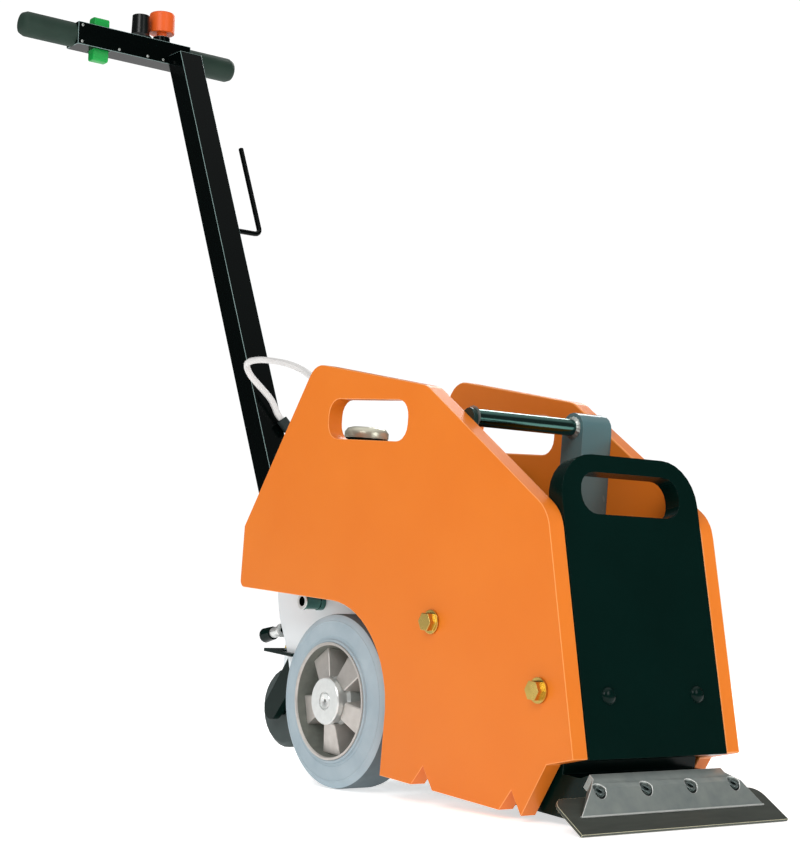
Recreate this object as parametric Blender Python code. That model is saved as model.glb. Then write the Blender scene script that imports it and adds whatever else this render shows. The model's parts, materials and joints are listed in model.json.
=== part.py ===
"""Walk-behind floor-covering stripper: a powered scraper for lifting tile, carpet and glue.

Metres and degrees, +Z up. The blade points to -Y and the handlebar leans back to +Y. The machine rests
on its blade edge and two drive wheels, so everything but the mast is drawn in a body frame whose origin
is the drive axle and whose nose is pitched down. In that frame y is to the rear and z is up.
"""
import math

import bmesh
import bpy

# ---- driving dimensions ------------------------------------------------------------------------
GAP = 0.0003                 # clearance left between touching pieces
AXLE_Y = -0.1523             # the drive axle behind the object's own origin
WHEEL_RADIUS = 0.100
WHEEL_WIDTH = 0.050
WHEEL_OUTER_X = 0.1063       # outer side of the tyre
RIM_RADIUS = 0.0673
RIM_LIP = 0.0072             # how far the rim stands out of the tyre
HUB_RADIUS = 0.027
HUB_PROUD = 0.0117           # how far the hub stands out of the tyre
AXLE_RADIUS = 0.009
PITCH = 4.7                  # nose-down pitch of the body

PLATE_OUTER_X = 0.1183       # outer faces of the two side weights
PLATE_THICKNESS = 0.0197
WELL_RADIUS = 0.1155         # wheel arch, concentric with the wheel
PLATE_BOTTOM = -0.0655
NOTCH_HEIGHT = 0.0227
FRONT_LEAN = 14.5            # lean of the front edges and the front weight
FRONT_FOOT = (-0.4189, 0.0015)
BOLT_SPOTS = ((-0.1862, 0.1103), (-0.3638, 0.0612))
BOLT_RADIUS = 0.006
SLOT_REAR, SLOT_FRONT = 0.0335, -0.118
SLOT_LOW, SLOT_HIGH = 0.3015, 0.348
SLOT_CORNER = 0.019

FRONT_HALF_WIDTH = 0.0976
FRONT_HEIGHT = 0.3075
FRONT_THICKNESS = 0.020
FRONT_PROUD = 0.001
FRONT_SCREW_X = 0.063
FRONT_SCREW_HEIGHT = 0.061
SCREW_RADIUS = 0.004

ARM_INNER_X = 0.0545
ARM_DEPTH = 0.034
STRAP = 0.006                # thickness of the left arm above its foot
STRAP_DEPTH = 0.0205
TUBE_SPOT = (-0.198, 0.332)
TUBE_RADIUS = 0.0095
CHEEK_X = 0.044              # inner faces of the two cheek plates
CHEEK_THICKNESS = 0.006
CHEEK_TOP = 0.150

MOTOR_SPOT = (-0.050, 0.225)
MOTOR_RADIUS = 0.065
MOTOR_PULLEY_RADIUS = 0.025
ECCENTRIC_SPOT = (-0.290, 0.045)
ECCENTRIC_PULLEY_RADIUS = 0.038
ECCENTRIC_RADIUS = 0.016
ECCENTRIC_THROW = 0.003
SHAFT_RADIUS = 0.008
BELT_X = (-0.040, -0.028)
BELT_THICKNESS = 0.004
CHAIN_X = (0.031, 0.037)
AXLE_SPROCKET_RADIUS = 0.040
GEAR_SPROCKET_RADIUS = 0.020
GEAR_SPOT = (0.118, 0.150)
GEARBOX_HALF = 0.0275
GEARBOX_LOW, GEARBOX_HIGH, GEAR_MOTOR_HIGH = 0.100, 0.190, 0.308

BLADE_EDGE = (-0.4653, -0.0621)
BLADE_TILT = 28.7
BLADE_HALF_WIDTH = 0.145
BLADE_DEPTH = 0.052
BLADE_THICKNESS = 0.0032
CLAMP_FRONT = 0.0222
CLAMP_DEPTH = 0.0439
CLAMP_THICKNESS = 0.016
CLAMP_BEVEL = 0.0237
CLAMP_HALF_WIDTH = 0.1305
CLAMP_TOP_HALF_WIDTH = 0.0933
CLAMP_SCREW_PITCH = 0.0632
CLAMP_SCREW_BACK = 0.045
CLAMP_SCREW_RADIUS = 0.003
CLAMP_HEAD_RADIUS = 0.0062
HOLDER_HALF_WIDTH = 0.094
HOLDER_LIP_HALF_WIDTH = 0.118
HOLDER_TOP = -0.0193
HOLDER_BOTTOM = -0.062
HOLDER_REAR = -0.250

MAST_SIZE = 0.0381
MAST_WALL = 0.003
MAST_X = 0.0600              # left face of the mast
MAST_LEAN = 23.6
MAST_PIVOT = (0.3125, 0.150)  # behind the axle, and above the floor
MAST_FOOT = 0.030
MAST_TOP = 1.065             # level cut at the top, above the floor
BOX_SPOT = (0.745, 1.069)    # middle of the switch box, behind the axle and above the floor
BOX_DEPTH = 0.038
BOX_HEIGHT = 0.035
BOX_LEFT, BOX_RIGHT = -0.099, 0.0985
BOX_WALL = 0.003
GRIP_RADIUS = 0.019
GRIP_END = 0.187
HANDLE_RADIUS = 0.011
PADDLE_X = -0.054
PADDLE_HALF = (0.0130, 0.009, 0.034)
PADDLE_ROOM = 0.0045         # free space in front of and behind the paddle
INLET_X = 0.018
KNOB_X = 0.056
KNOB_RADIUS = 0.020
KNOB_HEIGHT = 0.039
KNOB_TRAVEL = 0.005
COLLAR_RADIUS = 0.0135
COLLAR_HEIGHT = 0.0105
STEM_RADIUS = 0.008
HOOK_HEIGHT = 0.665
HOOK_REACH = 0.040
HOOK_LENGTH = 0.158
HOOK_RADIUS = 0.004
GLAND_HEIGHT = 0.3215
GLAND_X = 0.1015
GLAND_SLANT = 31             # how far the mast's gland leans to the left
GLAND_LENGTH = 0.018
GLAND_RADIUS = 0.008

SWING_SPOT = (0.117, 0.104)
SWING_AXLE = (0.2273, -0.0418)
SWING_X = (-0.0395, -0.0295)
TRANSPORT_RADIUS = 0.050
TRANSPORT_HALF_WIDTH = 0.020
STUB_RADIUS = 0.0075
STUB_END = 0.079
PLUNGER_SPOT = (0.2004, 0.0605)
PLUNGER_SLOPE = 16           # how far the plunger points down
CABLE_RADIUS = 0.0046

INNER_X = PLATE_OUTER_X - PLATE_THICKNESS
WHEEL_X = WHEEL_OUTER_X - WHEEL_WIDTH / 2
CHEEK_OUTER_X = CHEEK_X + CHEEK_THICKNESS


# ---- materials ---------------------------------------------------------------------------------
def material(name, colour, roughness, metallic=0.0):
    made = bpy.data.materials.new(name)
    made.use_nodes = True
    shader = made.node_tree.nodes["Principled BSDF"]
    shader.inputs["Base Color"].default_value = (*colour, 1.0)
    shader.inputs["Roughness"].default_value = roughness
    shader.inputs["Metallic"].default_value = metallic
    return made


for old in list(bpy.data.objects):
    bpy.data.objects.remove(old)

ORANGE = material("orange paint", (0.80, 0.20, 0.03), 0.45)
BLACK = material("black paint", (0.008, 0.012, 0.010), 0.25)
STEEL = material("steel", (0.45, 0.46, 0.47), 0.35, 1.0)
ZINC = material("yellow zinc", (0.62, 0.48, 0.20), 0.3, 1.0)
ALUMINIUM = material("cast aluminium", (0.55, 0.55, 0.55), 0.4, 1.0)
PALE = material("pale grey paint", (0.72, 0.75, 0.77), 0.4)
TYRE = material("grey rubber", (0.40, 0.45, 0.48), 0.8)
RUBBER = material("dark rubber", (0.03, 0.05, 0.045), 0.75)
GREEN = material("green plastic", (0.01, 0.38, 0.08), 0.4)
KNOB = material("orange plastic", (0.86, 0.18, 0.04), 0.4)
CABLE = material("pale cable sheath", (0.68, 0.65, 0.64), 0.5)


# ---- frames ------------------------------------------------------------------------------------
def frame(name, location, tilt=0.0, parent=None):
    """An empty that carries pieces; tilt turns it about X."""
    made = bpy.data.objects.new(name, None)
    made.location = location
    made.rotation_euler.x = math.radians(tilt)
    made.parent = parent
    bpy.context.scene.collection.objects.link(made)
    return made


BODY = frame("body_frame", (0, AXLE_Y, WHEEL_RADIUS), PITCH)
FRONT = frame("front_frame", (0, *FRONT_FOOT), -FRONT_LEAN, BODY)
BLADE = frame("blade_frame", (0, *BLADE_EDGE), BLADE_TILT, BODY)
MAST = frame("mast_frame", (0, AXLE_Y + MAST_PIVOT[0], MAST_PIVOT[1]), -MAST_LEAN)
HEAD = frame("head_frame", (0, AXLE_Y + BOX_SPOT[0], BOX_SPOT[1]))


# ---- shape tools -------------------------------------------------------------------------------
def add(name, mesh, paint, parent, location=(0, 0, 0), rotation=(0, 0, 0)):
    """Finish a mesh and place it as an object."""
    bm = bmesh.new()
    bm.from_mesh(mesh)
    bmesh.ops.recalc_face_normals(bm, faces=bm.faces)
    bm.to_mesh(mesh)
    bm.free()
    mesh.shade_smooth()
    mesh.set_sharp_from_angle(angle=math.radians(35))
    made = bpy.data.objects.new(name, mesh)
    made.parent = parent
    made.location = location
    made.rotation_euler = [math.radians(angle) for angle in rotation]
    if paint:
        mesh.materials.append(paint)
    bpy.context.scene.collection.objects.link(made)
    return made


def cutter(name, mesh, parent, location=(0, 0, 0), rotation=(0, 0, 0)):
    made = add(name, mesh, None, parent, location, rotation)
    made.hide_render = True
    made.display_type = "WIRE"
    return made


def boolean(target, tool, operation="DIFFERENCE"):
    step = target.modifiers.new(tool.name, "BOOLEAN")
    step.operation = operation
    step.object = tool


def mesh_of(points, faces):
    made = bpy.data.meshes.new("shape")
    made.from_pydata(points, [], faces)
    return made


def along_x(a, b, t):
    return (t, a, b)


def along_y(a, b, t):
    return (a, t, b)


def along_z(a, b, t):
    return (a, b, t)


def prism(outline, low, high, place=along_x):
    """An outline in two axes, drawn out along the third."""
    count = len(outline)
    points = [place(a, b, t) for t in (low, high) for a, b in outline]
    faces = [tuple(range(count)), tuple(range(2 * count - 1, count - 1, -1))]
    faces += [(i, (i + 1) % count, count + (i + 1) % count, count + i) for i in range(count)]
    return mesh_of(points, faces)


def ring_prism(inner, outer, low, high):
    """A closed band between two outlines of as many points, drawn out along X."""
    count = len(inner)
    points = [(t, y, z) for t in (low, high) for side in (inner, outer) for y, z in side]
    faces = []
    for i in range(count):
        j = (i + 1) % count
        a, b, c, d = (k * count for k in range(4))
        faces += [(a + i, a + j, b + j, b + i), (c + i, d + i, d + j, c + j),
                  (a + i, c + i, c + j, a + j), (b + i, b + j, d + j, d + i)]
    return mesh_of(points, faces)


def box(size_x, size_y, size_z):
    """A block from three (low, high) pairs."""
    outline = [(size_y[i], size_z[j]) for i, j in ((0, 0), (1, 0), (1, 1), (0, 1))]
    return prism(outline, *size_x)


def arc(centre, radius, start, end, steps):
    turn = math.radians(end - start)
    angles = [math.radians(start) + turn * i / steps for i in range(steps + 1)]
    return [(centre[0] + radius * math.cos(a), centre[1] + radius * math.sin(a)) for a in angles]


def rounded(corners, steps=5):
    """A polygon whose corners (a, b, radius) are filleted; radius 0 keeps a corner sharp."""
    outline = []
    count = len(corners)
    for i, (a, b, radius) in enumerate(corners):
        if not radius:
            outline.append((a, b))
            continue
        before, after = corners[i - 1], corners[(i + 1) % count]
        away = [math.atan2(other[1] - b, other[0] - a) for other in (before, after)]
        half = (away[1] - away[0]) / 2
        half = math.atan2(math.sin(half), math.cos(half))
        middle = away[0] + half
        reach = radius / abs(math.sin(half))
        if math.cos(half) < 0:
            middle += math.pi
        centre = (a + reach * math.cos(middle), b + reach * math.sin(middle))
        starts = [math.atan2(b + math.sin(w) * radius / abs(math.tan(half)) - centre[1],
                             a + math.cos(w) * radius / abs(math.tan(half)) - centre[0]) for w in away]
        sweep = (starts[1] - starts[0] + math.pi) % (2 * math.pi) - math.pi
        outline += arc(centre, radius, math.degrees(starts[0]), math.degrees(starts[0] + sweep), steps)
    return outline


def rectangle(low_a, high_a, low_b, high_b, radius, steps=5):
    spots = ((low_a, low_b), (high_a, low_b), (high_a, high_b), (low_a, high_b))
    return rounded([(a, b, radius) for a, b in spots], steps)


def ring_factor(shape, step, steps):
    """How far the outline is from round at this step of a ring."""
    angle = 360 * step / steps
    if shape == "hex":
        return math.cos(math.radians(30)) / math.cos(math.radians(angle % 60 - 30))
    if shape == "square":
        return math.cos(math.radians(45)) / math.cos(math.radians((angle + 45) % 90 - 45))
    if shape == "teeth":
        return 1.0 if step % 2 else 0.9
    return 1.0


def turned(rings, steps=16, closed=False):
    """Rings (x, radius, shape, shift in z) joined along X; closed joins the last ring to the first."""
    points = []
    for ring in rings:
        x, radius, shape, shift = (*ring, *("round", 0.0)[len(ring) - 2:])
        for step in range(steps):
            angle = 2 * math.pi * step / steps
            reach = radius * ring_factor(shape, step, steps)
            points.append((x, reach * math.cos(angle), reach * math.sin(angle) + shift))
    faces = []
    count = len(rings)
    for i in range(count if closed else count - 1):
        low, high = i * steps, (i + 1) % count * steps
        for k in range(steps):
            n = (k + 1) % steps
            faces.append((low + k, low + n, high + n, high + k))
    if not closed:
        faces.append(tuple(range(steps)))
        faces.append(tuple(reversed(range((count - 1) * steps, count * steps))))
    return mesh_of(points, faces)


def rod(low, high, radius, steps=16):
    return turned([(low, radius), (high, radius)], steps)


def around(radius, steps=16):
    """The radius at which a loop's flat steps clear a pulley of this radius."""
    return radius / math.cos(math.radians(100 / steps)) + GAP


def loop_outline(first, first_radius, second, second_radius, steps=16):
    """The taut line around two circles."""
    reach = math.dist(first, second)
    heading = math.degrees(math.atan2(second[1] - first[1], second[0] - first[0]))
    side = math.degrees(math.acos((first_radius - second_radius) / reach))
    outline = arc(first, first_radius, heading + side, heading + 360 - side, steps)
    outline += arc(second, second_radius, heading - side, heading + side, steps)
    return outline


# ---- side weights, front weight, arms and cheeks -------------------------------------------------
def front_line(height, depth=0.0):
    """y of the leaning front plane at a height, or of a plane this far behind it."""
    lean = math.radians(FRONT_LEAN)
    return FRONT_FOOT[0] + (height - FRONT_FOOT[1]) * math.tan(lean) + depth / math.cos(lean)


def notch(front, rear):
    """A V cut in the bottom edge, from its rear end to its front end."""
    return [(rear, PLATE_BOTTOM), ((front + rear) / 2, PLATE_BOTTOM + NOTCH_HEIGHT), (front, PLATE_BOTTOM)]


def side_plate_outline():
    nose = 0.2399
    corners = [(-0.3815, -0.0092, 0), (*FRONT_FOOT, 0), (front_line(nose), nose, 0.040),
               (-0.1477, 0.3641, 0.030), (0.0696, 0.3896, 0.028), (0.1973, 0.1888, 0),
               (0.1973, WELL_RADIUS, 0.009)]
    outline = rounded(corners)
    outline += arc((0, 0), WELL_RADIUS, 90, 176, 14)
    outline.append((-WELL_RADIUS + 0.001, PLATE_BOTTOM))
    outline += notch(-0.207, -0.1704) + notch(-0.3495, -0.3157)
    return outline


def make_side_plates():
    slot = cutter("cut_hand_slots", prism(rectangle(SLOT_FRONT, SLOT_REAR, SLOT_LOW, SLOT_HIGH, SLOT_CORNER),
                                          -PLATE_OUTER_X - 0.01, PLATE_OUTER_X + 0.01), BODY)
    plates = {}
    for side, sign in (("left", -1), ("right", 1)):
        low, high = sorted((sign * INNER_X, sign * PLATE_OUTER_X))
        plates[side] = add("side_plate_" + side, prism(side_plate_outline(), low, high), ORANGE, BODY)
        boolean(plates[side], slot)
    return plates


def arm_outline(half):
    rear_foot, foot_low, foot_high = -0.150, 0.005, 0.135
    behind_weight = FRONT_THICKNESS - FRONT_PROUD + GAP
    outline = arc(TUBE_SPOT, half, 0, 180, 8)
    outline += [(TUBE_SPOT[0] - half, foot_high), (front_line(foot_high, behind_weight), foot_high),
                (front_line(foot_low, behind_weight), foot_low), (rear_foot, foot_low),
                (rear_foot, foot_high), (TUBE_SPOT[0] + half, foot_high + 0.02)]
    return outline


def make_arms():
    """Two uprights with the same wide foot; the left one is a thin strap above its foot."""
    outer, inner = INNER_X - GAP, ARM_INNER_X
    right = add("inner_arm_right", prism(arm_outline(ARM_DEPTH / 2), inner, outer), PALE, BODY)
    left = add("inner_arm_left", prism(arm_outline(STRAP_DEPTH / 2), -outer, STRAP - outer), PALE, BODY)
    foot_outline = [(-0.150, 0.005), (-0.150, 0.135)]
    foot_outline += [(front_line(z, FRONT_THICKNESS - FRONT_PROUD + GAP), z) for z in (0.135, 0.005)]
    boolean(left, cutter("add_foot", prism(foot_outline, -outer, -inner), BODY), "UNION")
    add("cross_tube", rod(STRAP - outer + GAP, inner - GAP, TUBE_RADIUS), STEEL, BODY, (0, *TUBE_SPOT))
    return {"left": left, "right": right}


def make_plate_bolts(plates, arms):
    """Hexagon bolts with a washer, each through a side weight into an arm."""
    washer, washer_radius, head, head_radius, sunk = 0.0025, 0.013, 0.008, 0.0105, 0.012
    for side, sign in (("left", -1), ("right", 1)):
        for place, spot in zip(("rear", "front"), BOLT_SPOTS):
            shank = PLATE_THICKNESS + sunk
            rings = [(-shank, BOLT_RADIUS), (GAP, BOLT_RADIUS), (GAP, washer_radius), (washer, washer_radius),
                     (washer, head_radius, "hex"), (washer + head, head_radius, "hex")]
            turn = (0, 0, 0) if sign > 0 else (0, 0, 180)
            where = (sign * PLATE_OUTER_X, *spot)
            add(f"plate_bolt_{side}_{place}", turned(rings, 24), ZINC, BODY, where, turn)
            hole = cutter(f"cut_bolt_{side}_{place}", rod(-shank - GAP, 0.01, BOLT_RADIUS + GAP),
                          BODY, where, turn)
            boolean(plates[side], hole)
            boolean(arms[side], hole)


def make_front_weight(arms):
    half, corner = FRONT_HALF_WIDTH, 0.047
    outline = rounded([(-half, -0.0005, 0), (half, -0.0005, 0), (half, FRONT_HEIGHT, corner),
                       (-half, FRONT_HEIGHT, corner)], 7)
    plate = add("front_weight_plate", prism(outline, -FRONT_PROUD, FRONT_THICKNESS - FRONT_PROUD, along_y),
                BLACK, FRONT)
    slot = rectangle(-0.0705, 0.0705, 0.245, 0.289, 0.020)
    boolean(plate, cutter("cut_front_slot", prism(slot, -0.01, FRONT_THICKNESS + 0.01, along_y), FRONT))
    head_radius, head, sunk = 0.009, 0.0045, 0.012
    for side, sign in (("left", -1), ("right", 1)):
        shank = FRONT_THICKNESS + sunk
        where = (sign * FRONT_SCREW_X, -FRONT_PROUD, FRONT_SCREW_HEIGHT)
        rings = [(-shank, SCREW_RADIUS), (GAP, SCREW_RADIUS), (GAP, head_radius),
                 (head * 0.6, head_radius * 0.9), (head, head_radius * 0.55)]
        add("front_plate_screw_" + side, turned(rings, 20), BLACK, FRONT, where, (0, 0, -90))
        hole = cutter("cut_screw_" + side, rod(-shank - GAP, 0.01, SCREW_RADIUS + GAP), FRONT, where, (0, 0, -90))
        boolean(plate, hole)
        boolean(arms[side], hole)


def make_cheeks():
    outline = [(-0.235, -0.056), (0.150, -0.056), (0.1826, 0.0335), (0.1898, 0.0471), (0.2061, 0.0743),
               (0.2138, 0.1001), (0.2138, CHEEK_TOP), (-0.235, CHEEK_TOP)]
    axle_hole = cutter("cut_axle", rod(-0.06, 0.06, AXLE_RADIUS + GAP, 20), BODY)
    cheeks = {}
    for side, sign in (("left", -1), ("right", 1)):
        low, high = sorted((sign * CHEEK_X, sign * CHEEK_OUTER_X))
        cheeks[side] = add("cheek_plate_" + side, prism(outline, low, high), PALE, BODY)
        boolean(cheeks[side], axle_hole)
    stub_hole = cutter("cut_stub", rod(-0.06, -0.03, STUB_RADIUS + GAP), BODY, (0, *SWING_SPOT))
    boolean(cheeks["left"], stub_hole)
    reach = CHEEK_X - GAP
    add("floor_pan", box((-reach, reach), (-0.230, 0.110), (-0.056, -0.050)), BLACK, BODY)


# ---- drive: motor, belt, eccentric, gear motor, chain, axle and wheels ----------------------------
def make_blade_drive():
    motor_left, motor_right = -0.024, 0.095
    add("main_motor", turned([(motor_left, MOTOR_RADIUS * 0.8), (motor_left + 0.012, MOTOR_RADIUS),
                              (motor_right - 0.012, MOTOR_RADIUS), (motor_right, MOTOR_RADIUS * 0.8)], 24),
        BLACK, BODY, (0, *MOTOR_SPOT))
    low = CHEEK_TOP + GAP
    high = MOTOR_SPOT[1] - MOTOR_RADIUS - GAP
    add("motor_bridge", box((motor_left, INNER_X - 0.0006), (-0.110, 0.010), (low, high)), BLACK, BODY)
    shaft_end = motor_left - GAP
    rings = [(BELT_X[0], MOTOR_PULLEY_RADIUS), (BELT_X[1], MOTOR_PULLEY_RADIUS),
             (BELT_X[1], SHAFT_RADIUS), (shaft_end, SHAFT_RADIUS)]
    add("motor_pulley", turned(rings, 20), STEEL, BODY, (0, *MOTOR_SPOT))
    end, cam = ARM_INNER_X - GAP, 0.0075
    rings = [(-end, SHAFT_RADIUS), (BELT_X[0], SHAFT_RADIUS), (BELT_X[0], ECCENTRIC_PULLEY_RADIUS),
             (BELT_X[1], ECCENTRIC_PULLEY_RADIUS), (BELT_X[1], SHAFT_RADIUS), (-cam, SHAFT_RADIUS),
             (-cam, ECCENTRIC_RADIUS, "round", ECCENTRIC_THROW), (cam, ECCENTRIC_RADIUS, "round", ECCENTRIC_THROW),
             (cam, SHAFT_RADIUS), (end, SHAFT_RADIUS)]
    add("eccentric_shaft", turned(rings, 20), STEEL, BODY, (0, *ECCENTRIC_SPOT))
    circles = (MOTOR_SPOT, around(MOTOR_PULLEY_RADIUS), ECCENTRIC_SPOT, around(ECCENTRIC_PULLEY_RADIUS))
    inner = loop_outline(*circles)
    outer = loop_outline(circles[0], circles[1] + BELT_THICKNESS, circles[2], circles[3] + BELT_THICKNESS)
    add("drive_belt", ring_prism(inner, outer, *BELT_X), RUBBER, BODY)


def make_wheel_drive():
    corner = GEARBOX_HALF * math.sqrt(2)
    rings = [(GEARBOX_LOW, corner, "square"), (GEARBOX_HIGH, corner, "square"),
             (GEARBOX_HIGH, GEARBOX_HALF), (GEAR_MOTOR_HIGH, GEARBOX_HALF)]
    add("gear_motor", turned(rings), BLACK, BODY, (0, GEAR_SPOT[0], 0), (0, -90, 0))
    cap = [(0, GEARBOX_HALF), (0.007, GEARBOX_HALF), (0.012, GEARBOX_HALF * 0.86), (0.014, GEARBOX_HALF * 0.6)]
    add("gear_motor_cap", turned(cap, 20), STEEL, BODY, (0, GEAR_SPOT[0], GEAR_MOTOR_HIGH + GAP), (0, -90, 0))
    rings = [(GEARBOX_HALF + GAP, 0.006), (CHAIN_X[0], 0.006), (CHAIN_X[0], GEAR_SPROCKET_RADIUS, "teeth"),
             (CHAIN_X[1], GEAR_SPROCKET_RADIUS, "teeth")]
    add("gear_sprocket", turned(rings, 20), STEEL, BODY, (0, *GEAR_SPOT))
    bore = AXLE_RADIUS + GAP
    rings = [(CHAIN_X[0], bore), (CHAIN_X[1], bore), (CHAIN_X[1], AXLE_SPROCKET_RADIUS, "teeth"),
             (CHAIN_X[0], AXLE_SPROCKET_RADIUS, "teeth")]
    add("axle_sprocket", turned(rings, 36, closed=True), STEEL, BODY)
    thickness = 0.004
    first, second = around(AXLE_SPROCKET_RADIUS), around(GEAR_SPROCKET_RADIUS)
    inner = loop_outline((0, 0), first, GEAR_SPOT, second)
    outer = loop_outline((0, 0), first + thickness, GEAR_SPOT, second + thickness)
    add("drive_chain", ring_prism(inner, outer, *CHAIN_X), STEEL, BODY)


def window_cutter(name, centre_x):
    """Five wedge-shaped openings between the spokes, in one cutter."""
    inner, outer, spoke = 0.032, 0.056, 0.0075
    points, faces = [], []
    for turn in range(5):
        middle = 36 + 72 * turn
        near = math.degrees(spoke / inner)
        far = math.degrees(spoke / outer)
        outline = arc((0, 0), outer, middle - 36 + far, middle + 36 - far, 4)
        outline += arc((0, 0), inner, middle + 36 - near, middle - 36 + near, 2)
        base, count = len(points), len(outline)
        points += [(x, y, z) for x in (-0.03, 0.04) for y, z in outline]
        faces.append(tuple(range(base, base + count)))
        faces.append(tuple(range(base + 2 * count - 1, base + count - 1, -1)))
        faces += [(base + i, base + (i + 1) % count, base + count + (i + 1) % count, base + count + i)
                  for i in range(count)]
    return cutter(name, mesh_of(points, faces), BODY, (centre_x, 0, 0))


def make_wheels():
    half, bore = WHEEL_WIDTH / 2, AXLE_RADIUS + GAP
    lip, hub, inside = half + RIM_LIP, half + HUB_PROUD, -0.022
    web_front, web_back, channel = 0.014, 0.000, 0.060
    rim = [(inside, bore), (hub, bore), (hub, HUB_RADIUS), (web_front, HUB_RADIUS), (web_front, channel),
           (lip, channel), (lip, RIM_RADIUS), (inside, RIM_RADIUS), (inside, channel),
           (web_back, channel), (web_back, HUB_RADIUS * 0.9), (inside, HUB_RADIUS * 0.9)]
    seat, round_off = RIM_RADIUS + GAP, 0.008
    tyre = [(-half, seat), (half, seat), (half, WHEEL_RADIUS - round_off),
            (half - round_off * 0.4, WHEEL_RADIUS - round_off * 0.3), (half - round_off, WHEEL_RADIUS),
            (round_off - half, WHEEL_RADIUS), (round_off * 0.4 - half, WHEEL_RADIUS - round_off * 0.3),
            (-half, WHEEL_RADIUS - round_off)]
    for side, sign in (("left", -1), ("right", 1)):
        turn = (0, 0, 0) if sign > 0 else (0, 0, 180)
        where = (sign * WHEEL_X, 0, 0)
        wheel = add("wheel_rim_" + side, turned(rim, 32, closed=True), ALUMINIUM, BODY, where, turn)
        boolean(wheel, window_cutter("cut_windows_" + side, sign * WHEEL_X))
        add("tyre_" + side, turned(tyre, 40, closed=True), TYRE, BODY, where, turn)
    end = PLATE_OUTER_X - 0.006
    add("drive_axle", rod(-end, end, AXLE_RADIUS), STEEL, BODY)


def make_electrics():
    """The electrics box behind the left weight, with the gland that takes the mast cable."""
    box_x, box_y, box_z = (-0.095, -0.044), (0.040, 0.180), (0.160, 0.280)
    add("electrics_box", box(box_x, box_y, box_z), BLACK, BODY)
    add("box_gland", rod(0, GLAND_LENGTH, GLAND_RADIUS), RUBBER, BODY,
        (-0.060, 0.120, box_z[1] + GAP), (0, -90, 0))


# ---- blade head ---------------------------------------------------------------------------------
def from_blade(depth, height):
    """A point of the blade frame, in the body frame."""
    tilt = math.radians(BLADE_TILT)
    return (BLADE_EDGE[0] + depth * math.cos(tilt) - height * math.sin(tilt),
            BLADE_EDGE[1] + depth * math.sin(tilt) + height * math.cos(tilt))


def clamp_screw_xs():
    return [CLAMP_SCREW_PITCH * (i - 1.5) for i in range(4)]


def screw_clearance():
    """Stepped holes for the four clamp screws, in one cutter."""
    steps, low, seat, high = 16, -0.012, BLADE_THICKNESS + 0.005, 0.03
    wide, narrow = CLAMP_HEAD_RADIUS + 0.0015, CLAMP_SCREW_RADIUS + GAP
    points, faces = [], []
    for x in clamp_screw_xs():
        base = len(points)
        for height, radius in ((low, narrow), (seat, narrow), (seat, wide), (high, wide)):
            for k in range(steps):
                angle = 2 * math.pi * k / steps
                points.append((x + radius * math.cos(angle), CLAMP_SCREW_BACK + radius * math.sin(angle), height))
        for ring in range(3):
            first = base + ring * steps
            faces += [(first + k, first + (k + 1) % steps, first + steps + (k + 1) % steps, first + steps + k)
                      for k in range(steps)]
        faces.append(tuple(range(base, base + steps)))
        faces.append(tuple(reversed(range(base + 3 * steps, base + 4 * steps))))
    return cutter("cut_clamp_screws", mesh_of(points, faces), BLADE)


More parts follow.
